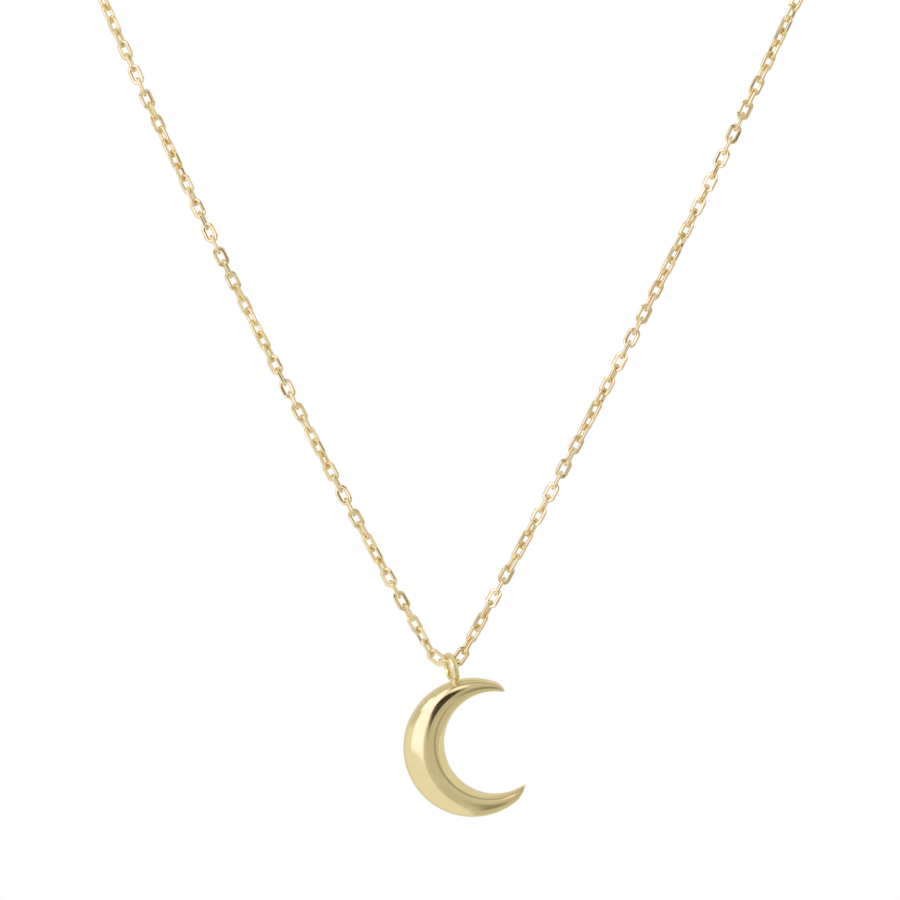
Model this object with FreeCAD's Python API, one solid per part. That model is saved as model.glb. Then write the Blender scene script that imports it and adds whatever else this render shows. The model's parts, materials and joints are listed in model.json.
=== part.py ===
"""Crescent moon pendant necklace on a fine cable chain, worn round a neck.

Millimetres. +Z is up, the front of the necklace faces -Y, +X is to the right seen from the front.
The origin is the centre of the neck opening, level with the sides of the neck.
"""

import os

import FreeCAD
import Part

from math import acos, atan2, cos, degrees, pi, radians, sin, sqrt

Vector = FreeCAD.Vector

# Chain: one oval link of round wire, repeated
wire = 0.38
link_width = 1.28
link_pitch = 1.273
link_play = 0.02

# Front of the necklace: two strands hanging in one upright plane from the collar bones
front_y = -48.0
apex_z = -107.0
rows = 9
links_per_row = 8
lean = {
    "left": {"first": 36.0, "low": 60.0, "high": 68.4},
    "right": {"first": 55.0, "low": 60.8, "high": 66.2},
}
side_sign = {"left": -1, "right": 1}
# Links at which each hanging strand, counted from the pendant, has wound by another quarter turn
winding_marks = {
    "left": (-2, 3, 10.5, 19.5, 29, 44, 55, 72),
    "right": (-2, 3.5, 10.5, 21.5, 35, 54, 72),
}

# Neck stretch: over the collar bones and round to the nape
nape_y = 46.0
nape_rise = 50.0
collar_handle = 29.0
nape_handle = 50.0
neck_regions = ("collar", "shoulder", "nape")

# Pendant: outline of the crescent from two circles, seen from the front
outer_radius = 6.61
inner_radius = 4.86
outer_centre = Vector(2.25, 0, -8.32)
inner_centre = Vector(4.40, 0, -7.85)
dome_height = 1.50
dome_taper = 0.75
dome_fullness = 0.62
cavity_share = 0.80
shell_wall = 0.28
back_thickness = 0.35
back_face = 0.75
tip_width = 0.58
tip_rounding = 9.0
tip_fall = 0.62
sections = 17

# Bail ring: closed loop of oval wire that the chain runs through
bail_radius = 1.27
bail_width = 0.64
bail_thickness = 0.38
bail_side = 0.12
bail_lean = 15.0
bail_turn = -17.0
bail_drop = 0.72
solder_radius = 0.46

# Clasp: spring ring, with the jump rings and the end tab beside it
ring_wire = 0.42
left_ring_radius = 0.95
right_ring_radius = 0.80
ring_play = 0.03
clasp_radius = 2.2
clasp_tube = 0.62
clasp_bore = 0.44
bolt_radius = 0.40
eye_radius = 0.75
eye_wire = 0.50
mouth_start = 35.0
mouth_end = 80.0
bolt_tail = 150.0
bolt_tip = 31.0
spring_end = 214.0
knob_angle = 108.0
knob_radius = 0.38
stem_radius = 0.20
trigger_travel = 40.0
slot_width = 0.50
slot_lead = 8.0
slot_tail = 6.0
eye_sink = 0.17
spring_wire = 0.12
tab_big_end = 1.35
tab_small_end = 0.95
tab_thickness = 0.45
tab_clasp_hole = 0.85
tab_ring_hole = 0.42
tab_hole_spacing = 2.1

centreline_length = link_pitch + wire + link_play
bend_radius = (link_width - wire) / 2
wire_gap = wire + link_play
OUT_OF_FRONT = Vector(0, -1, 0)
UP = Vector(0, 0, 1)
RIGHT = Vector(1, 0, 0)

apex = Vector(0, front_y, apex_z)


def save(name, solids):
    """Writes one node, as one solid or as a group of separate solids."""
    solids = [s for s in solids if s.Volume > 1e-4]
    for solid in solids:
        assert solid.isValid(), name
    shape = solids[0] if len(solids) == 1 else Part.makeCompound(solids)
    shape.exportStep("parts/" + name + ".step")


def biggest_solid(shape):
    return max(shape.Solids, key=lambda s: s.Volume)


def in_front_plane(angle):
    """Unit direction in the upright front plane, angle in degrees from +X towards +Z."""
    return Vector(cos(radians(angle)), 0, sin(radians(angle)))


def axes_placement(centre, across, through, along):
    """Placement that turns a piece's own X, Y and Z to across, through and along."""
    matrix = FreeCAD.Matrix(
        across.x, through.x, along.x, centre.x,
        across.y, through.y, along.y, centre.y,
        across.z, through.z, along.z, centre.z,
        0, 0, 0, 1,
    )  # fmt: skip
    return FreeCAD.Placement(matrix)


# ---------------------------------------------------------------- chain

def make_link():
    """One link about its own centre: long axis Z, flat face towards Y."""
    straight = centreline_length - 2 * bend_radius
    pieces = []
    for side in (-1, 1):
        foot = Vector(side * bend_radius, 0, -straight / 2)
        pieces.append(Part.makeCylinder(wire / 2, straight, foot, UP))
        end = Vector(0, 0, side * straight / 2)
        disc = Part.Face(Part.Wire(Part.makeCircle(wire / 2, end + RIGHT * bend_radius, UP)))
        pieces.append(disc.revolve(end, Vector(0, -side, 0), 180))
    return pieces[0].multiFuse(pieces[1:]).removeSplitter().Solids[0]


LINK = make_link()


def link_at(centre, along, facing, roll):
    """A link at centre, lying along a direction and rolled about it from facing, in degrees."""
    along = Vector(along).normalize()
    across = facing.cross(along).normalize()
    through = along.cross(across)
    turned_across = across * cos(radians(roll)) + through * sin(radians(roll))
    turned_through = along.cross(turned_across)
    link = LINK.copy()
    link.Placement = axes_placement(centre, turned_across, turned_through, along)
    return link


def winding(side, number):
    """How far a strand has wound at a numbered link, in degrees: each mark is another quarter turn."""
    marks = winding_marks[side]
    step = 0
    while marks[step + 1] < number:
        step += 1
    share = (number - marks[step]) / (marks[step + 1] - marks[step])
    return 90 * (step + share) - 45


def crossed(number):
    """Links lie face on and edge on by turns."""
    return 0 if number % 2 else 90


def front_links(side):
    """The links of one front strand from the pendant up, and the point and direction it ends with.

    Where the strand bends, the link that faces the front holds its neighbour in line with itself.
    """
    sign = side_sign[side]
    count = rows * links_per_row
    before = RIGHT * sign
    faced = 0.0
    hook = apex + before * (centreline_length / 2)
    links = []
    for number in range(1, count + 1):
        share = (number - 1) / (count - 1)
        rise = lean[side]["low"] + (lean[side]["high"] - lean[side]["low"]) * share
        if number == 1:
            rise = lean[side]["first"]
        along = Vector(sign * cos(radians(rise)), 0, sin(radians(rise)))
        roll = crossed(number) + winding(side, number)
        facing_front = cos(radians(roll)) ** 2
        pull = (before * faced + along * facing_front).normalize()
        foot = hook - pull * wire_gap
        centre = foot + along * (centreline_length / 2)
        links.append(link_at(centre, along, OUT_OF_FRONT, sign * roll))
        hook = foot + along * centreline_length
        before = along
        faced = facing_front
    return links, hook - before * (wire_gap / 2), before


def neck_curve(side, start, direction, end):
    """The line over the collar bone and round the side of the neck to the nape."""
    curve = Part.BezierCurve()
    curve.setPoles([
        start,
        start + direction * collar_handle,
        end + RIGHT * (side_sign[side] * nape_handle),
        end,
    ])
    return curve.toShape()


def neck_links(side, start, direction, end):
    """The links of one neck stretch, and the true length of the stretch.

    The last link stands square to the ring it hangs on, so the left strand has an odd number of links.
    """
    sign = side_sign[side]
    edge = neck_curve(side, start, direction, end)
    odd = 1 if side == "left" else 0
    count = 2 * round((edge.Length / link_pitch - odd) / 2) + odd
    pitch = edge.Length / count
    first = rows * links_per_row
    wound = winding(side, first)
    settled = 180 * round(wound / 180)
    links = []
    for number in range(count):
        here = edge.getParameterByLength((number + 0.5) * pitch)
        share = (number + 0.5) / count
        facing = Vector(sign * sin(pi * share), -cos(pi * share), 0)
        roll = crossed(first + number + 1) + wound + (settled - wound) * share
        links.append(link_at(edge.valueAt(here), edge.tangentAt(here), facing, sign * roll))
    return links, edge.Length


# ---------------------------------------------------------------- pendant

def crescent_angles():
    """Angle of the crescent's widest ray at the inner circle's centre, and how far it reaches each way."""
    towards_opening = inner_centre - outer_centre
    middle = degrees(atan2(-towards_opening.z, -towards_opening.x))
    reach = 0.0
    while width_between_circles(middle + reach) > tip_width:
        reach += 0.25
    return middle, reach


def width_between_circles(angle):
    """Width between the two circles on a ray from the inner circle's centre."""
    back = outer_centre - inner_centre
    along = back.dot(in_front_plane(angle))
    return along + sqrt(along**2 - back.dot(back) + outer_radius**2) - inner_radius


def crescent_width(angle):
    """Width across the crescent on a ray, its horns rounded off on the outer side, and the ray."""
    middle, reach = crescent_angles()
    into_tip = max(0.0, abs(angle - middle) - reach + tip_rounding) / tip_rounding
    return width_between_circles(angle) * (1 - tip_fall * into_tip**2), in_front_plane(angle)


def dome_at(width):
    """Height of the dome over the back plate where the crescent has this width."""
    widest = outer_radius + (inner_centre - outer_centre).Length - inner_radius
    return dome_height * (width / widest) ** dome_taper


def dome_section(angle, inset):
    """Half-oval section of the dome on one ray, its flat side on the back plate, shrunk by inset."""
    width, ray = crescent_width(angle)
    half = width / 2 - inset
    height = dome_at(width) - inset
    middle = apex + inner_centre + ray * (inner_radius + width / 2)
    middle.y = front_y + back_face - back_thickness
    inner, outer = middle - ray * half, middle + ray * half
    shoulder = OUT_OF_FRONT * height * dome_fullness
    crest = middle + OUT_OF_FRONT * height
    curve = Part.BezierCurve()
    curve.setPoles([
        inner,
        inner + shoulder,
        crest - ray * half * dome_fullness,
        crest + ray * half * dome_fullness,
        outer + shoulder,
        outer,
    ])
    return Part.Wire([curve.toShape(), Part.makeLine(outer, inner)])


def dome_body(reach, inset):
    middle, _ = crescent_angles()
    wires = []
    for number in range(sections):
        angle = middle - reach * cos(pi * number / (sections - 1))
        wires.append(dome_section(angle, inset))
    return Part.makeLoft(wires, True, False)


def crescent_outline():
    """Flat crescent bounded by its two circles and rounded horns."""
    middle, reach = crescent_angles()

    def edge_point(angle, outer):
        width, ray = crescent_width(angle)
        return inner_centre + ray * (inner_radius + (width if outer else 0))

    def outer_arc(start, end):
        return Part.Arc(edge_point(start, True), edge_point((start + end) / 2, True), edge_point(end, True))

    first, last = middle - reach, middle + reach
    arcs = [
        outer_arc(first, first + tip_rounding),
        outer_arc(first + tip_rounding, last - tip_rounding),
        outer_arc(last - tip_rounding, last),
        Part.LineSegment(edge_point(last, True), edge_point(last, False)),
        Part.Arc(edge_point(last, False), edge_point(middle, False), edge_point(first, False)),
        Part.LineSegment(edge_point(first, False), edge_point(first, True)),
    ]
    return Part.Wire([a.toShape() for a in arcs])


def crescent_pieces():
    """The domed front shell and the flat back plate soldered to its rim."""
    _, reach = crescent_angles()
    dome = dome_body(reach, 0.0)
    cavity = dome_body(reach * cavity_share, shell_wall)
    front = dome.cut(cavity)
    outline = crescent_outline()
    outline.translate(apex + Vector(0, back_face - back_thickness, 0))
    back = Part.Face(outline).extrude(Vector(0, back_thickness, 0))
    return biggest_solid(front), biggest_solid(back), dome


def bail_ring():
    """Closed ring of oval wire, leaning with the pendant and turned a little from edge on."""
    half = bail_thickness / 2
    flat = bail_side / 2
    inside, outside = bail_radius - half, bail_radius + half
    near, far = bail_radius - flat, bail_radius + flat
    edge = bail_width / 2
    profile = Part.Wire([
        Part.Arc(Vector(-edge, 0, near), Vector(0, 0, inside), Vector(edge, 0, near)).toShape(),
        Part.makeLine(Vector(edge, 0, near), Vector(edge, 0, far)),
        Part.Arc(Vector(edge, 0, far), Vector(0, 0, outside), Vector(-edge, 0, far)).toShape(),
        Part.makeLine(Vector(-edge, 0, far), Vector(-edge, 0, near)),
    ])
    ring = Part.Face(profile).revolve(Vector(), RIGHT, 360).Solids[0]
    axis, down, centre = bail_axes()
    ring.Placement = axes_placement(centre, axis, down.cross(axis) * -1, down * -1)
    return ring


def bail_axes():
    """Axis of the bail ring, the direction from its centre to its foot, and its centre."""
    down = Vector(sin(radians(bail_lean)), 0, -cos(radians(bail_lean)))
    level = Vector(cos(radians(bail_lean)), 0, sin(radians(bail_lean)))
    axis = level * cos(radians(bail_turn)) + OUT_OF_FRONT * sin(radians(bail_turn))
    return axis, down, apex + down * bail_drop


def solder_bead(ring, crescent):
    """Small bead of solder round the foot of the bail ring."""
    _, down, centre = bail_axes()
    foot = centre + down * (bail_radius + bail_thickness * 0.5)
    bead = Part.makeSphere(solder_radius, foot)
    return biggest_solid(bead.cut(ring.fuse(crescent)))


# ---------------------------------------------------------------- clasp

def arc_rod(centre, radius, rod, start, end):
    """Round rod bent to an arc about the clasp's axis, from start to end in degrees."""
    across = in_front_plane(start)
    tangent = in_front_plane(start + 90)
    disc = Part.Face(Part.Wire(Part.makeCircle(rod, centre + across * radius, tangent)))
    return disc.revolve(centre, OUT_OF_FRONT, end - start)


def closed_ring(centre, normal, radius, rod):
    return Part.makeTorus(radius, rod, centre, normal)


def clasp_body(centre):
    """Rolled ring tube, bored for the bolt and its spring, slotted for the thumb knob, open at its mouth."""
    body = arc_rod(centre, clasp_radius, clasp_tube, mouth_end, mouth_start + 360)
    bore = arc_rod(centre, clasp_radius, clasp_bore, mouth_end - 1, spring_end)
    socket = arc_rod(centre, clasp_radius, clasp_bore, bolt_tip - 2, mouth_start + 1)
    outward = in_front_plane(knob_angle - slot_lead)
    near = centre + outward * (clasp_radius + 0.1)
    far = centre + outward * (clasp_radius + 1.0)
    side = OUT_OF_FRONT * (slot_width / 2)
    slot_face = Part.Face(Part.makePolygon([near + side, far + side, far - side, near - side, near + side]))
    slot = slot_face.revolve(centre, OUT_OF_FRONT, slot_lead + trigger_travel + slot_tail)
    return biggest_solid(body.cut(bore).cut(socket).cut(slot))


def clasp_bolt(centre):
    return arc_rod(centre, clasp_radius, bolt_radius, bolt_tip, bolt_tail)


def clasp_knob(centre, bolt):
    """Thumb knob on a short stem that stands out through the slot."""
    outward = in_front_plane(knob_angle)
    foot = centre + outward * clasp_radius
    stem = Part.makeCylinder(stem_radius, clasp_tube + knob_radius, foot, outward)
    head = Part.makeSphere(knob_radius, foot + outward * (clasp_tube + knob_radius))
    return biggest_solid(stem.fuse(head).cut(bolt).removeSplitter())


def clasp_spring(centre):
    """The space of the return spring: a plain sleeve of the coil's outer size."""
    coil = clasp_bore - ring_play
    outer = arc_rod(centre, clasp_radius, coil, bolt_tail + 1, spring_end - 1)
    inner = arc_rod(centre, clasp_radius, coil - spring_wire, bolt_tail, spring_end)
    return biggest_solid(outer.cut(inner))


def clasp_eye(centre, body):
    """Small fixed ring soldered to the clasp, that its jump ring runs through."""
    eye_centre = centre - RIGHT * (clasp_radius + clasp_tube + eye_radius + eye_wire / 2 - eye_sink)
    ring = closed_ring(eye_centre, OUT_OF_FRONT, eye_radius, eye_wire / 2)
    return biggest_solid(ring.cut(body)), eye_centre


def end_tab(clasp_hole, ring_hole):
    """Flat drop-shaped tab with a large hole for the clasp and a small one for its jump ring."""
    lift = UP * (tab_thickness / 2)
    slope = acos((tab_big_end - tab_small_end) / (ring_hole - clasp_hole).Length)
    corners = []
    for centre, radius, turn in (
        (clasp_hole, tab_big_end, 1),
        (ring_hole, tab_small_end, 1),
        (ring_hole, tab_small_end, -1),
        (clasp_hole, tab_big_end, -1),
    ):
        corners.append(centre - lift + Vector(cos(slope), turn * sin(slope), 0) * radius)
    web = Part.Face(Part.makePolygon(corners + corners[:1])).extrude(lift * 2)
    left = Part.makeCylinder(tab_big_end, tab_thickness, clasp_hole - lift, UP)
    right = Part.makeCylinder(tab_small_end, tab_thickness, ring_hole - lift, UP)
    plate = left.multiFuse([web, right]).removeSplitter()
    for centre, radius in ((clasp_hole, tab_clasp_hole), (ring_hole, tab_ring_hole)):
        plate = plate.cut(Part.makeCylinder(radius, 2, centre - UP, UP))
    return biggest_solid(plate)


def make_clasp(nape):
    """Writes the clasp, its rings and the tab, and returns where the two chain ends meet them."""
    body = clasp_body(nape)
    bolt = clasp_bolt(nape)
    eye, eye_centre = clasp_eye(nape, body)
    save("clasp_tube", [body])
    save("clasp_bolt", [bolt])
    save("clasp_thumb_knob", [clasp_knob(nape, bolt)])
    save("clasp_spring", [clasp_spring(nape)])
    save("clasp_eye", [eye])

    half_ring = ring_wire / 2
    eye_left = eye_centre - RIGHT * eye_radius
    left_centre = eye_left + RIGHT * (eye_wire / 2 + half_ring + ring_play - left_ring_radius)
    save("clasp_jump_ring", [closed_ring(left_centre, UP, left_ring_radius, half_ring)])
    link_reach = half_ring + wire / 2 + ring_play - link_pitch / 2 + centreline_length / 2
    left_end = left_centre - RIGHT * (left_ring_radius - link_reach + centreline_length - link_pitch)

    clasp_hole = nape + RIGHT * (clasp_radius + tab_clasp_hole - clasp_tube - ring_play)
    ring_hole = clasp_hole + RIGHT * tab_hole_spacing
    save("end_tab", [end_tab(clasp_hole, ring_hole)])
    right_centre = ring_hole + RIGHT * (tab_ring_hole - ring_play - half_ring + right_ring_radius)
    save("tab_jump_ring", [closed_ring(right_centre, OUT_OF_FRONT, right_ring_radius, half_ring)])
    right_end = right_centre + RIGHT * (right_ring_radius - link_reach + centreline_length - link_pitch)
    return left_end, right_end


def save_strand(side, front, neck):
    """Writes one strand: a node for each front row, from the top down, and one for each neck region."""
    for row in range(rows):
        lowest = (rows - 1 - row) * links_per_row
        save("%s_front_chain_%d" % (side, row + 1), front[lowest:lowest + links_per_row])
    share = len(neck) / len(neck_regions)
    for number, region in enumerate(neck_regions):
        save("%s_%s_chain" % (side, region), neck[round(number * share):round((number + 1) * share)])


def save_pendant():
    front, back, dome = crescent_pieces()
    crescent = dome.fuse(back)
    ring = bail_ring()
    save("crescent_front", [front])
    save("crescent_back", [back])
    save("bail_ring", [biggest_solid(ring.cut(crescent))])
    save("bail_solder", [solder_bead(ring, crescent)])
    save("centre_link", [link_at(apex, RIGHT, OUT_OF_FRONT, 90)])


def main():
    os.makedirs("parts", exist_ok=True)
    save_pendant()
    strands = {side: front_links(side) for side in side_sign}
    top = max(start.z for _, start, _ in strands.values())
    nape = Vector(0, nape_y, top + nape_rise)
    ends = dict(zip(side_sign, make_clasp(nape)))
    total = (2 * rows * links_per_row + 1) * link_pitch + (ends["right"] - ends["left"]).Length
    for side, (front, start, direction) in strands.items():
        neck, length = neck_links(side, start, direction, ends[side])
        save_strand(side, front, neck)
        total += length
        print(side, "strand has", len(front) + len(neck), "links")
    print("the necklace is", round(total, 1), "mm long round its closed loop")


if __name__ == "__main__":
    main()
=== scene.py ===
"""The looks of the crescent moon necklace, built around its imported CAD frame. Metres, row frame."""

import json
import math

import bpy
import numpy as np
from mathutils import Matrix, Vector


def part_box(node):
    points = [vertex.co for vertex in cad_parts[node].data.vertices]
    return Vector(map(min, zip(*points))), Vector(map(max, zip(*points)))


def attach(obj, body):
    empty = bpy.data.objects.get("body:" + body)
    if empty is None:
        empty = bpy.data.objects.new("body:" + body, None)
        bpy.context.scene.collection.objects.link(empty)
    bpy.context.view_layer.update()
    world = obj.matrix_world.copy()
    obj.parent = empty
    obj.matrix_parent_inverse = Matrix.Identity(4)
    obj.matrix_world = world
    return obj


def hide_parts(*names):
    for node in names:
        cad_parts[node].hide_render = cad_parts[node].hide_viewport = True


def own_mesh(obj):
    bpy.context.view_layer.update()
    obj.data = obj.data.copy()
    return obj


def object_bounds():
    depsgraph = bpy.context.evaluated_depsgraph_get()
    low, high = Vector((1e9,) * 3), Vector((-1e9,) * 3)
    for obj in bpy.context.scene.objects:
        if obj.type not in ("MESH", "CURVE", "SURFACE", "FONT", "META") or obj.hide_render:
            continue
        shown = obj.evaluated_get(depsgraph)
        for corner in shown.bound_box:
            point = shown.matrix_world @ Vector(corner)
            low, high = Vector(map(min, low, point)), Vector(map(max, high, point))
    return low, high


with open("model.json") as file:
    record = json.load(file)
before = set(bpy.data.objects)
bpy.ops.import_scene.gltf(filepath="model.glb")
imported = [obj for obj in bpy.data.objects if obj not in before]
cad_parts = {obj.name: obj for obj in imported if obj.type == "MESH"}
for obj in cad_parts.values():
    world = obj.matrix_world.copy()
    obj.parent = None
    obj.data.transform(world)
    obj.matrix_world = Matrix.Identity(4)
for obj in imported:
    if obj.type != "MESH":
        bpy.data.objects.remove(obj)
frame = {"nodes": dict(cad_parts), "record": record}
cad_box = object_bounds()
MM = 0.001
record = frame["record"]
apex = (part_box("centre_link")[0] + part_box("centre_link")[1]) / 2

# ---------------------------------------------------------------- sizes, millimetres and radians

wire = 0.38
bend_radius = 0.45
link_centreline = 1.673

outer_radius = 6.61
inner_radius = 4.86
outer_centre = np.array([2.25, 0.0, -8.32])
inner_centre = np.array([4.40, 0.0, -7.85])
dome_height = 1.50
dome_taper = 0.75
back_face = 0.75
back_thickness = 0.35
tip_width = 0.58
tip_rounding = math.radians(9)
tip_fall = 0.62
lower_horn_taper = 1.8
crest_power = 2.4
crest_root = 0.47

bail_radius = 1.27
bail_width = 0.64
bail_thickness = 0.38
bail_side = 0.12
bail_lean = math.radians(15)
bail_turn = math.radians(-17)
bail_drop = 0.72


# ---------------------------------------------------------------- node helpers

class Nodes:
    """Small helper that adds and links shader nodes."""

    def __init__(self, tree):
        self.tree = tree
        tree.nodes.clear()

    def add(self, kind, **settings):
        node = self.tree.nodes.new(kind)
        for name, value in settings.items():
            setattr(node, name, value)
        return node

    def link(self, source, target):
        self.tree.links.new(source, target)

    def value(self, socket, given):
        if isinstance(given, bpy.types.NodeSocket):
            self.link(given, socket)
        elif given is not None:
            socket.default_value = given

    def math(self, operation, a, b=None, clamp=False):
        node = self.add("ShaderNodeMath", operation=operation, use_clamp=clamp)
        self.value(node.inputs[0], a)
        self.value(node.inputs[1], b)
        return node.outputs[0]

    def ramp(self, source, low, high):
        """0 below low, 1 above high, smooth between."""
        node = self.add("ShaderNodeMapRange", interpolation_type="SMOOTHERSTEP")
        self.value(node.inputs["Value"], source)
        self.value(node.inputs["From Min"], low)
        self.value(node.inputs["From Max"], high)
        return node.outputs["Result"]

    def mix(self, factor, a, b):
        node = self.add("ShaderNodeMix", data_type="RGBA")
        self.value(node.inputs["Factor"], factor)
        self.value(node.inputs["A"], a)
        self.value(node.inputs["B"], b)
        return node.outputs["Result"]

    def noise(self, scale, detail, source, roughness=0.5):
        node = self.add("ShaderNodeTexNoise")
        node.inputs["Scale"].default_value = scale
        node.inputs["Detail"].default_value = detail
        node.inputs["Roughness"].default_value = roughness
        self.value(node.inputs["Vector"], source)
        return node.outputs["Fac"]


def new_material(name):
    material = bpy.data.materials.new(name)
    material.use_nodes = True
    return material, Nodes(material.node_tree)


def polished(name, colour, deep, roughness=0.10, spread=0.06, polish=0.03, ripple=0.0, lines=(1, 1, 1)):
    """Polished metal: fine polishing lines, a little uneven gloss and a slightly uneven colour."""
    material, n = new_material(name)
    point = n.add("ShaderNodeTexCoord").outputs["Object"]
    stretch = n.add("ShaderNodeMapping")
    stretch.inputs["Scale"].default_value = lines
    n.link(point, stretch.inputs["Vector"])
    brushed = n.noise(9000, 6, stretch.outputs["Vector"], 0.65)
    cloudy = n.noise(700, 3, point)
    broad = n.noise(160, 2, point)
    shader = n.add("ShaderNodeBsdfPrincipled")
    shader.inputs["Metallic"].default_value = 1.0
    tint = n.mix(n.ramp(cloudy, 0.35, 0.70), (*deep, 1), (*colour, 1))
    n.link(tint, shader.inputs["Base Color"])
    gloss = n.math("MULTIPLY_ADD", brushed, spread)
    gloss.node.inputs[2].default_value = roughness - spread * 0.5
    n.link(n.math("MAXIMUM", gloss, 0.02), shader.inputs["Roughness"])
    height = n.math("MULTIPLY_ADD", brushed, polish)
    n.link(n.math("MULTIPLY", broad, ripple), height.node.inputs[2])
    bump = n.add("ShaderNodeBump")
    bump.inputs["Strength"].default_value = 1.0
    bump.inputs["Distance"].default_value = 0.00001
    n.link(height, bump.inputs["Height"])
    n.link(bump.outputs["Normal"], shader.inputs["Normal"])
    out = n.add("ShaderNodeOutputMaterial")
    n.link(shader.outputs["BSDF"], out.inputs["Surface"])
    return material


# ---------------------------------------------------------------- mesh helpers

def mesh_object(name, vertices, faces, material, sharp=None):
    """A new object from millimetre vertices, smooth shaded, with creases sharper than the angle kept."""
    mesh = bpy.data.meshes.new(name)
    mesh.from_pydata((np.asarray(vertices, float) * MM).tolist(), [], faces)
    mesh.validate()
    mesh.shade_smooth()
    if sharp is not None:
        mesh.set_sharp_from_angle(angle=math.radians(sharp))
    mesh.materials.append(material)
    obj = bpy.data.objects.new(name, mesh)
    bpy.context.scene.collection.objects.link(obj)
    return obj


def grid_faces(rows, columns, wrap_rows=False, wrap_columns=False):
    """Quads of a grid of rows by columns points, numbered row by row."""
    faces = []
    for i in range(rows if wrap_rows else rows - 1):
        for j in range(columns if wrap_columns else columns - 1):
            k = (i + 1) % rows
            m = (j + 1) % columns
            faces.append((i * columns + j, k * columns + j, k * columns + m, i * columns + m))
    return faces


def place(obj, body, slot, *nodes):
    """The piece moves with the body and stands for the CAD nodes, which are hidden; the slot is not used.
    """
    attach(obj, body)
    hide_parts(*nodes)


# ---------------------------------------------------------------- materials

chain_gold = polished("chain_gold", (0.95, 0.84, 0.55), (0.90, 0.73, 0.42), 0.09, 0.08, 0.05)
crescent_gold = polished("crescent_gold", (0.90, 0.76, 0.43), (0.88, 0.735, 0.40), 0.09, 0.05, 0.02,
                         ripple=1.2, lines=(1, 1, 0.15))
plate_gold = polished("back_plate_gold", (0.89, 0.75, 0.42), (0.86, 0.71, 0.38), 0.20, 0.10, 0.16,
                      ripple=0.5, lines=(0.08, 1, 1))
bail_gold = polished("bail_gold", (0.92, 0.78, 0.45), (0.89, 0.74, 0.40), 0.12, 0.06, 0.06)
solder_gold = polished("solder_gold", (0.88, 0.74, 0.42), (0.84, 0.69, 0.37), 0.22, 0.12, 0.20, 2.0)
clasp_gold = polished("clasp_gold", (0.92, 0.77, 0.43), (0.88, 0.72, 0.37), 0.11, 0.07, 0.05)
spring_steel = polished("spring_steel", (0.66, 0.65, 0.62), (0.55, 0.54, 0.52), 0.25, 0.15, 0.10)


# ---------------------------------------------------------------- chain links

def link_cuts():
    """Facets of a cut link: which way each one faces and how far from the link's centre it lies."""
    side, face, edge, end, corner = 0.628, 0.160, 0.486, 0.905, 0.90
    cuts = []
    for sx in (-1, 1):
        cuts.append(((sx, 0, 0), side))
        cuts.append(((0, sx, 0), face))
        for sy in (-1, 1):
            cuts.append(((sx, sy, 0), edge))
            cuts.append(((0, sx * 0.8, sy), end))
            for up in (0.79, -0.79):
                cuts.append(((sx * 0.62, sy * 0.5, up), corner))
    return cuts


def link_mesh():
    """One link about its own centre, long axis Z, flat face towards Y: bent wire with cut facets."""
    around = 44
    section = 14
    straight = link_centreline / 2 - bend_radius
    vertices = []
    for i in range(around):
        turn = 2 * math.pi * (i + 0.5) / around
        side = math.sin(turn)
        up = math.cos(turn)
        lift = math.copysign(straight, up)
        for j in range(section):
            a = 2 * math.pi * j / section
            out = bend_radius + wire / 2 * math.cos(a)
            vertices.append((out * side, wire / 2 * math.sin(a), out * up + lift))
    points = np.array(vertices)
    for direction, reach in link_cuts():
        normal = np.array(direction) / np.linalg.norm(direction)
        over = np.maximum(points @ normal - reach, 0)
        points = points - over[:, None] * normal
    return points, grid_faces(around, section, True, True)


def welded(obj):
    """Vertices of a node in millimetres, its triangles, and the number of each triangle's solid."""
    mesh = obj.data
    co = np.zeros(len(mesh.vertices) * 3)
    mesh.vertices.foreach_get("co", co)
    co = co.reshape(-1, 3) / MM
    mesh.calc_loop_triangles()
    tri = np.zeros(len(mesh.loop_triangles) * 3, int)
    mesh.loop_triangles.foreach_get("vertices", tri)
    tri = tri.reshape(-1, 3)
    _, merged = np.unique(np.round(co, 4), axis=0, return_inverse=True)
    merged = merged.ravel()
    joined = merged[tri]
    label = np.arange(merged.max() + 1)
    while True:
        before = label.copy()
        low = label[joined].min(axis=1)
        for corner in range(3):
            np.minimum.at(label, joined[:, corner], low)
        label = label[label]
        if (label == before).all():
            break
    return co, tri, label[joined[:, 0]]


def solids_of(node):
    """Centre and axes (across, through, along) of each link of a node."""
    co, tri, label = welded(frame["nodes"][node])
    found = []
    for number in np.unique(label):
        a, b, c = (co[tri[label == number][:, k]] for k in range(3))
        area = np.linalg.norm(np.cross(b - a, c - a), axis=1)[:, None]
        middle = (a + b + c) / 3
        centre = (middle * area).sum(0) / area.sum()
        spread = ((middle - centre) * area).T @ (middle - centre)
        _, axes = np.linalg.eigh(spread)
        through, across, along = axes[:, 0], axes[:, 1], axes[:, 2]
        if np.dot(np.cross(across, through), along) < 0:
            through = -through
        found.append((centre, np.array([across, through, along])))
    return found


def build_chain(node, body):
    """Cut links in place of every round link of a chain node, with edges sharper than the crease kept."""
    crease = 16
    shape, faces = link_mesh()
    vertices, all_faces = [], []
    for centre, axes in solids_of(node):
        start = len(vertices) * len(shape)
        vertices.append(shape @ axes + centre)
        all_faces += [tuple(start + v for v in face) for face in faces]
    links = mesh_object(node + "_links", np.concatenate(vertices), all_faces, chain_gold, crease)
    place(links, body, "chain_gold", node)


for body, members in record["behaviour"]["bodies"].items():
    for node in members:
        if "chain" in node or node == "centre_link":
            build_chain(node, body)


# ---------------------------------------------------------------- crescent

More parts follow.
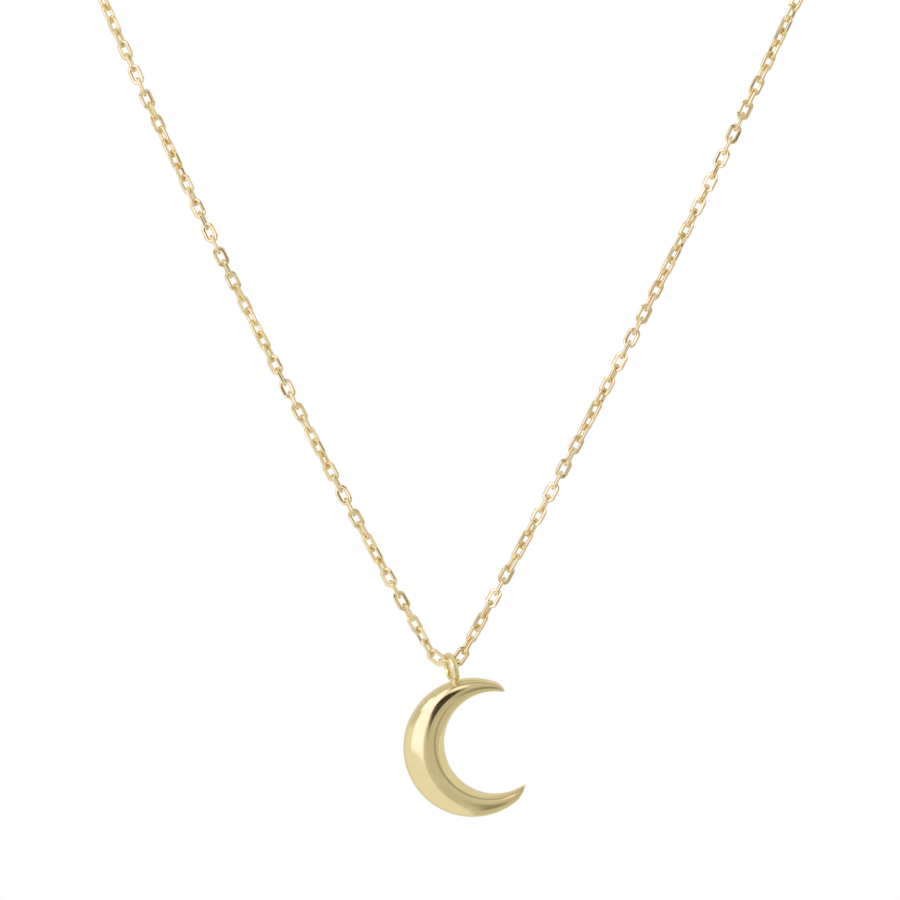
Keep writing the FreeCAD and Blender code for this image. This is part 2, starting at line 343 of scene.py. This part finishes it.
def crescent_ray(angle):
    """Ray from the inner circle's centre and the crescent's width on it."""
    ray = np.array([math.cos(angle), 0.0, math.sin(angle)])
    back = outer_centre - inner_centre
    along = back @ ray
    outer = along + math.sqrt(along * along - back @ back + outer_radius ** 2)
    return ray, outer - inner_radius


towards = inner_centre - outer_centre
middle_angle = math.atan2(-towards[2], -towards[0])
widest = outer_radius + np.linalg.norm(towards) - inner_radius


def reach_of_horns():
    """How far from the widest ray the crescent reaches, in radians."""
    angle = 0.0
    while crescent_ray(middle_angle + angle)[1] > tip_width:
        angle += 0.002
    return angle


def crescent_stations(stations=260):
    """For each ray from horn to horn: its direction, middle, width, half width and how closed it is."""
    reach = reach_of_horns()
    centre = np.array(apex) / MM
    rays = []
    for i in range(stations + 1):
        s = -math.cos(math.pi * i / stations)
        ray, width = crescent_ray(middle_angle + reach * s)
        rounding = tip_rounding * (lower_horn_taper if s > 0 else 1.0)
        into_tip = max(0.0, reach * abs(s) - reach + rounding) / rounding
        width *= 1 - tip_fall * into_tip ** 2
        closing = math.sqrt(max(0.0, 1 - into_tip ** 5))
        middle = centre + inner_centre + ray * (inner_radius + width / 2)
        middle[1] = centre[1] + back_face - back_thickness
        rays.append((ray, middle, width, width / 2 * (0.2 + 0.8 * closing), closing))
    return rays


def lofted(rings):
    """Skin over equal rings of points, with both ends capped."""
    count = len(rings[0])
    faces = grid_faces(len(rings), count, wrap_columns=True)
    faces.append(tuple(range(count)))
    faces.append(tuple((len(rings) - 1) * count + j for j in reversed(range(count))))
    return [v for ring in rings for v in ring], faces


def crescent_mesh(section=48):
    """Puffed front: half-oval sections on rays, a little flatter on the crest, with a flat underside."""
    rings = []
    for ray, middle, width, half, closing in crescent_stations():
        height = dome_height * (width / widest) ** dome_taper * closing
        ring = []
        for j in range(section + 1):
            x = -math.cos(math.pi * j / section)
            y = (1 - abs(x) ** crest_power) ** crest_root
            ring.append(middle + ray * half * x + np.array([0, -height * y, 0]))
        rings.append(ring)
    return lofted(rings)


def plate_mesh(chamfer=0.05):
    """Flat back plate with the crescent's outline and a small chamfer round its back."""
    rings = []
    for ray, middle, _, half, _ in crescent_stations():
        cut = min(chamfer, half * 0.5)
        outline = ((-half, 0), (-half, back_thickness - cut), (cut - half, back_thickness),
                   (half - cut, back_thickness), (half, back_thickness - cut), (half, 0))
        rings.append([middle + ray * x + np.array([0, y, 0]) for x, y in outline])
    return lofted(rings)


dome = mesh_object("crescent_dome", *crescent_mesh(), crescent_gold, 60)
place(dome, "pendant", "crescent_gold", "crescent_front")
plate = mesh_object("crescent_plate", *plate_mesh(), plate_gold, 20)
place(plate, "pendant", "back_plate_gold", "crescent_back")


# ---------------------------------------------------------------- bent rings and the spring

def swept(centre, across, along, axis, radius, profile, turns):
    """Closed ring: the profile (outward, sideways) carried round the axis, shrunk at the seam."""
    vertices = []
    for turn, shrink in turns:
        outward = across * math.cos(turn) + along * math.sin(turn)
        for out, side in profile:
            vertices.append(centre + outward * (radius + out * shrink) + axis * side * shrink)
    return vertices, grid_faces(len(turns), len(profile), True, True)


def seam_turns(seam, groove=0.05, depth=0.30, steps=160, crowding=1.8):
    """Angles round a ring, closer together at its seam, with how far the wire's ends are rounded there."""
    turns = []
    for i in range(steps):
        way = 2 * (i + 0.5) / steps - 1
        offset = math.pi * math.copysign(abs(way) ** crowding, way)
        turns.append((seam + offset, 1 - depth * math.exp(-(offset / groove) ** 2)))
    return turns


def round_profile(rod, count=20):
    """Round wire of the given radius."""
    angles = [2 * math.pi * i / count for i in range(count)]
    return [(rod * math.cos(a), rod * math.sin(a)) for a in angles]


def lens_profile(count=16):
    """Oval wire: two shallow arcs joined by narrow flats, drawn outward first and sideways second."""
    flat, half, edge = bail_side / 2, bail_thickness / 2, bail_width / 2
    points = []
    for sign in (1, -1):
        for i in range(count + 1):
            t = -1 + 2 * i / count
            points.append((sign * (flat + (half - flat) * (1 - t * t)), sign * t * edge))
    return points


def jump_ring(node, body, flat_axis, seam):
    """Round wire bent to a ring, with the butted ends showing as a fine groove."""
    low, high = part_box(node)
    centre = np.array((low + high) / 2) / MM
    size = np.array(high - low) / MM
    rod = size[flat_axis] / 2
    across, along = [np.eye(3)[k] for k in range(3) if k != flat_axis]
    radius = size.max() / 2 - rod
    shape = swept(centre, across, along, np.eye(3)[flat_axis], radius, round_profile(rod), seam_turns(seam))
    place(mesh_object(node + "_wire", *shape, clasp_gold), body, "clasp_gold", node)


def bail():
    """Ring of oval wire, its closing seam low on the near side."""
    down = np.array([math.sin(bail_lean), 0, -math.cos(bail_lean)])
    level = np.array([math.cos(bail_lean), 0, math.sin(bail_lean)])
    axis = level * math.cos(bail_turn) + np.array([0, -1.0, 0]) * math.sin(bail_turn)
    centre = np.array(apex) / MM + down * bail_drop
    near = np.cross(down, axis)
    near = near if near[1] < 0 else -near
    seam = seam_turns(0.55, depth=0.24)
    shape = swept(centre, near, down, axis, bail_radius, lens_profile(), seam)
    place(mesh_object("bail_ring_wire", *shape, bail_gold, 35), "pendant", "bail_gold", "bail_ring")


def coil_spring():
    """Fine coil behind the bolt, following the curve of the clasp."""
    low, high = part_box("clasp_tube")
    centre = np.array((low + high) / 2) / MM
    ring_radius = 2.2
    coil_radius = 0.34
    rod = 0.06
    rod_sides = 8
    steps = 20
    count = 14 * steps
    first_bend, sweep, anchor_bend = 152, 60, 213
    vertices = []
    for i in range(count + 1):
        bend = math.radians(first_bend + sweep * i / count)
        wind = 2 * math.pi * i / steps
        outward = np.array([math.cos(bend), 0, math.sin(bend)])
        swing = outward * math.cos(wind) + np.array([0, 1.0, 0]) * math.sin(wind)
        at = centre + outward * ring_radius + swing * coil_radius
        tangent = np.array([-math.sin(bend), 0, math.cos(bend)])
        for j in range(rod_sides):
            a = 2 * math.pi * j / rod_sides
            vertices.append(at + swing * rod * math.cos(a) + tangent * rod * math.sin(a))
    faces = grid_faces(count + 1, rod_sides, wrap_columns=True)
    faces.append(tuple(range(rod_sides)))
    faces.append(tuple(count * rod_sides + j for j in reversed(range(rod_sides))))
    spring = mesh_object("clasp_spring_coil", vertices, faces, spring_steel)
    place(spring, "clasp", "spring_steel", "clasp_spring")
    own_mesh(spring)


jump_ring("clasp_jump_ring", "clasp_ring", 2, 1.9)
jump_ring("tab_jump_ring", "tab_ring", 1, 2.3)
bail()
coil_spring()

for node, material in (
    ("bail_solder", solder_gold), ("clasp_tube", clasp_gold), ("clasp_bolt", clasp_gold),
    ("clasp_thumb_knob", clasp_gold), ("clasp_eye", clasp_gold), ("end_tab", clasp_gold),
):
    mesh = frame["nodes"][node].data
    mesh.materials.clear()
    mesh.materials.append(material)


# ---------------------------------------------------------------- stage, light and camera

def build_world():
    """Studio round the necklace: bright, dark and tinted patches, placed in degrees from the front, -Y.

    The metal reflects the patches. Seen directly, the studio is plain white.
    """
    world = bpy.data.worlds.new("studio")
    bpy.context.scene.world = world
    world.use_nodes = True
    n = Nodes(world.node_tree)
    axes = n.add("ShaderNodeSeparateXYZ")
    n.link(n.add("ShaderNodeTexCoord").outputs["Generated"], axes.inputs["Vector"])
    x, y, z = axes.outputs
    away = n.math("MULTIPLY", n.math("ARCCOSINE", n.math("MULTIPLY", y, -1.0)), 180 / math.pi)
    flat = n.math("SQRT", n.math("ADD", n.math("MULTIPLY", x, x), n.math("MULTIPLY", z, z)))
    scale = n.math("DIVIDE", away, n.math("MAXIMUM", flat, 0.0001))
    right, up = n.math("MULTIPLY", x, scale), n.math("MULTIPLY", z, scale)

    def along(direction):
        """Degrees from the front, counted one way: 0 to the right, 90 up, 180 to the left."""
        turn = math.radians(direction)
        sideways = n.math("MULTIPLY", right, math.cos(turn))
        return n.math("ADD", sideways, n.math("MULTIPLY", up, math.sin(turn)))

    def beyond(source, edge, soft):
        """1 past the edge, 0 before it, soft at the edge."""
        return n.ramp(source, edge - soft, edge + soft)

    def short_of(source, edge, soft):
        """1 before the edge, 0 past it, soft at the edge."""
        return n.math("SUBTRACT", 1.0, beyond(source, edge, soft))

    def both(*masks):
        """1 where every mask is 1."""
        mask = masks[0]
        for other in masks[1:]:
            mask = n.math("MULTIPLY", mask, other)
        return mask

    def blob(centre, turn, length, width, soft):
        """1 inside an oval patch, 0 outside, soft at its edge."""
        c, s = math.cos(math.radians(turn)), math.sin(math.radians(turn))
        u = n.math("DIVIDE", n.math("SUBTRACT", along(turn), centre[0] * c + centre[1] * s), length)
        v = n.math("DIVIDE", n.math("SUBTRACT", along(turn + 90), centre[1] * c - centre[0] * s), width)
        return short_of(n.math("ADD", n.math("MULTIPLY", u, u), n.math("MULTIPLY", v, v)), 1.0, soft)

    def grey(level, warm):
        """A grey of the given level, yellower the warmer it is."""
        return (level, level * (1 - 0.05 * warm), level * (1 - 0.25 * warm), 1)

    lower_left = both(beyond(along(205), 5, 2.5), beyond(along(260), -10, 10))
    lower_right = both(beyond(along(-45), 12, 8), beyond(right, 4, 6))
    underside = both(
        beyond(along(-62), 11, 4), beyond(right, 13, 4), short_of(away, 46, 9), short_of(along(28), 12, 6),
    )
    far_right = beyond(along(35), 58, 5)
    grey_band = both(beyond(away, 38, 4), short_of(away, 52, 4), beyond(along(40), 10, 8))
    softbox = both(
        beyond(up, -6, 3), beyond(along(155), 0, 3), beyond(along(203), -5, 4), short_of(away, 54, 6),
    )
    bright_patch = blob((4.0, 23), 115, 12.5, 4.8, 0.5)
    dark_patch = blob((4.6, 7.8), -48, 11, 5.4, 0.35)
    behind = beyond(away, 112, 14)
    tone = n.mix(beyond(up, 0, 60), grey(0.60, 0.3), grey(0.68, 0.2))
    for mask, colour in (
        (lower_left, grey(0.90, 0.1)), (lower_right, grey(0.62, 0.4)), (underside, grey(0.30, 0.9)),
        (far_right, grey(0.80, 0.4)), (grey_band, grey(0.42, 0.6)), (softbox, (1.45, 1.28, 1.6, 1)),
        (bright_patch, (1.25, 1.15, 1.15, 1)), (dark_patch, grey(0.04, 1.5)), (behind, grey(0.78, 0.1)),
    ):
        tone = n.mix(mask, tone, colour)
    seen_directly = n.add("ShaderNodeLightPath").outputs["Is Camera Ray"]
    tone = n.mix(seen_directly, tone, (1.0, 1.0, 1.0, 1))
    shade = n.add("ShaderNodeBackground")
    n.link(tone, shade.inputs["Color"])
    out = n.add("ShaderNodeOutputWorld")
    n.link(shade.outputs["Background"], out.inputs["Surface"])


def build_stage():
    """Pale floor far below the pendant, seen directly and left out of reflections and shadows."""
    half_width = 4.0
    height = cad_box[0].z - 0.6
    material, n = new_material("studio_floor")
    shader = n.add("ShaderNodeBsdfPrincipled")
    shader.inputs["Base Color"].default_value = (0.95, 0.95, 0.95, 1)
    shader.inputs["Roughness"].default_value = 0.9
    shader.inputs["Emission Color"].default_value = (1, 1, 1, 1)
    shader.inputs["Emission Strength"].default_value = 0.26
    choice = n.add("ShaderNodeMixShader")
    n.link(n.add("ShaderNodeLightPath").outputs["Is Camera Ray"], choice.inputs["Fac"])
    n.link(n.add("ShaderNodeBsdfTransparent").outputs["BSDF"], choice.inputs[1])
    n.link(shader.outputs["BSDF"], choice.inputs[2])
    out = n.add("ShaderNodeOutputMaterial")
    n.link(choice.outputs["Shader"], out.inputs["Surface"])
    mesh = bpy.data.meshes.new("studio_floor")
    corners = [(half_width * x, half_width * y, height) for x, y in ((-1, -1), (1, -1), (1, 1), (-1, 1))]
    mesh.from_pydata(corners, [], [(0, 1, 2, 3)])
    mesh.materials.append(material)
    floor = bpy.data.objects.new("studio_floor", mesh)
    bpy.context.scene.collection.objects.link(floor)


def build_camera():
    """Level camera in front of the hanging strands, framed on their lower part."""
    camera = bpy.data.cameras.new("camera")
    camera.sensor_width = 36
    camera.lens = 135
    camera.clip_start = 0.01
    view_width = 85.5 * MM
    aim = Vector((0.09, 0, 19.97)) * MM
    distance = view_width / 2 * camera.lens / (camera.sensor_width / 2)
    obj = bpy.data.objects.new("camera", camera)
    obj.location = apex + aim + Vector((0, -distance, 0))
    obj.rotation_euler = (math.radians(90), 0, 0)
    bpy.context.scene.collection.objects.link(obj)
    bpy.context.scene.camera = obj


def build_lights():
    """One large soft box high on the left."""
    spot = Vector((-0.75, -0.55, 0.70))
    light = bpy.data.lights.new("softbox", "AREA")
    light.shape = "SQUARE"
    light.size = 0.30
    light.energy = 0.35
    obj = bpy.data.objects.new("softbox", light)
    obj.location = apex + spot
    obj.rotation_euler = (-spot).to_track_quat("-Z", "Y").to_euler()
    bpy.context.scene.collection.objects.link(obj)


build_world()
build_stage()
build_lights()
build_camera()
bpy.context.scene.view_settings.view_transform = "Standard"
